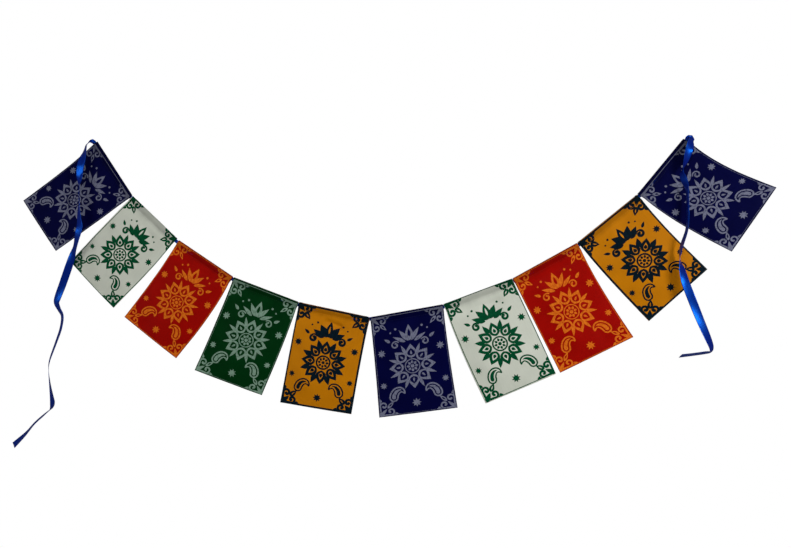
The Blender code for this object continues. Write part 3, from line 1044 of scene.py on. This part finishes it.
def ribbonMaterial():
    # Satin-woven polyester ribbon: bright lengthwise floats, which shine in streaks across it
    material = newMaterial("blueSatinRibbonPolyester")
    tree = material.node_tree
    tone = addNode(tree, "ShaderNodeTexNoise", {}, {
        "Vector": flatPlace(tree, ribbon["streaks"]), "Scale": 1.0, "Detail": 3.0,
    })
    colour = addNode(tree, "ShaderNodeMix", {"data_type": "RGBA"}, {
        0: tone.outputs["Fac"], 6: linear(ribbon["deep"]), 7: linear(ribbon["colour"]),
    })
    floats = addNode(tree, "ShaderNodeTexBrick", {"offset": 0.4, "offset_frequency": 2}, {
        "Vector": flatPlace(tree, (1, 1, 1)), "Scale": 1.0,
        "Brick Width": ribbon["floatWidth"] * mm, "Row Height": ribbon["floatLength"] * mm,
        "Mortar Size": ribbon["floatGap"] * mm, "Mortar Smooth": 1.0,
    })
    bump = addNode(tree, "ShaderNodeBump", {"invert": True}, {
        "Height": floats.outputs["Fac"], "Strength": ribbon["bumpStrength"],
        "Distance": ribbon["bump"] * mm,
    })
    tangent = addNode(tree, "ShaderNodeTangent", {"direction_type": "UV_MAP", "uv_map": "flat"})
    return finishMaterial(material, {
        "Base Color": colour.outputs[2], "Roughness": ribbon["roughness"], "IOR": ribbon["ior"],
        "Specular IOR Level": ribbon["shineLevel"], "Specular Tint": linear(ribbon["shine"]),
        "Anisotropic": ribbon["anisotropy"], "Tangent": tangent.outputs["Tangent"],
        "Normal": bump.outputs["Normal"],
    }, ribbon["colour"])


ribbonPiece = addRibbon(ribbonMaterial())
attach(ribbonPiece, "root")
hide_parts("ribbon")
print("ribbon threaded")

# Light and surroundings
studio = {
    "lights": {
        "leftLight": {
            "place": (-0.60, -0.85, -0.12), "aim": (0.15, 0.0, -0.15), "size": 0.35, "power": 2.0,
            "spread": 180.0,
        },
        "rightLight": {
            "place": (1.45, -0.85, -0.08), "aim": (0.65, 0.0, -0.15), "size": 0.30, "power": 6.0,
            "spread": 180.0,
        },
        "middleLight": {
            "place": (0.50, -1.20, 0.45), "aim": (0.45, 0.0, -0.30), "size": 1.0, "power": 1.5,
            "spread": 70.0,
        },
    },
    "ambient": 0.12,
    "floorPlace": (0.4, 0.0, -1.25),
    "floorRadius": 1.7,
    "floorColour": "#e6e6e4",
    "floorRoughness": 0.8,
}


def addLight(name, spec):
    data = bpy.data.lights.new(name, "AREA")
    data.shape = "SQUARE"
    data.size = spec["size"]
    data.energy = spec["power"]
    data.spread = math.radians(spec["spread"])
    light = bpy.data.objects.new(name, data)
    light.visible_camera = False
    light.location = spec["place"]
    way = Vector(spec["aim"]) - light.location
    light.rotation_euler = way.to_track_quat("-Z", "Y").to_euler()
    bpy.context.scene.collection.objects.link(light)


def addSurroundings():
    for name, spec in studio["lights"].items():
        addLight(name, spec)
    world = bpy.data.worlds.new("whiteStudio")
    world.use_nodes = True
    tree = world.node_tree
    tree.nodes.clear()
    seen = addNode(tree, "ShaderNodeLightPath")
    strength = addNode(tree, "ShaderNodeMapRange", {}, {
        "Value": seen.outputs["Is Camera Ray"], "To Min": studio["ambient"], "To Max": 1.0,
    })
    light = addNode(tree, "ShaderNodeBackground", {}, {
        "Color": (1.0, 1.0, 1.0, 1.0), "Strength": strength.outputs["Result"],
    })
    addNode(tree, "ShaderNodeOutputWorld", {}, {"Surface": light.outputs["Background"]})
    bpy.context.scene.world = world
    bpy.context.scene.view_settings.view_transform = "Standard"
    # Matt floor paint: pale and even, without reflections
    material = newMaterial("floorPaint")
    paint = {"Base Color": linear(studio["floorColour"]), "Roughness": studio["floorRoughness"]}
    finishMaterial(material, paint, studio["floorColour"])
    mesh = bmesh.new()
    bmesh.ops.create_circle(mesh, cap_ends=True, segments=96, radius=studio["floorRadius"])
    data = bpy.data.meshes.new("floor")
    mesh.to_mesh(data)
    mesh.free()
    data.materials.append(material)
    floor = bpy.data.objects.new("floor", data)
    floor.location = studio["floorPlace"]
    bpy.context.scene.collection.objects.link(floor)


addSurroundings()
print("studio lit")

bpy.context.view_layer.update()
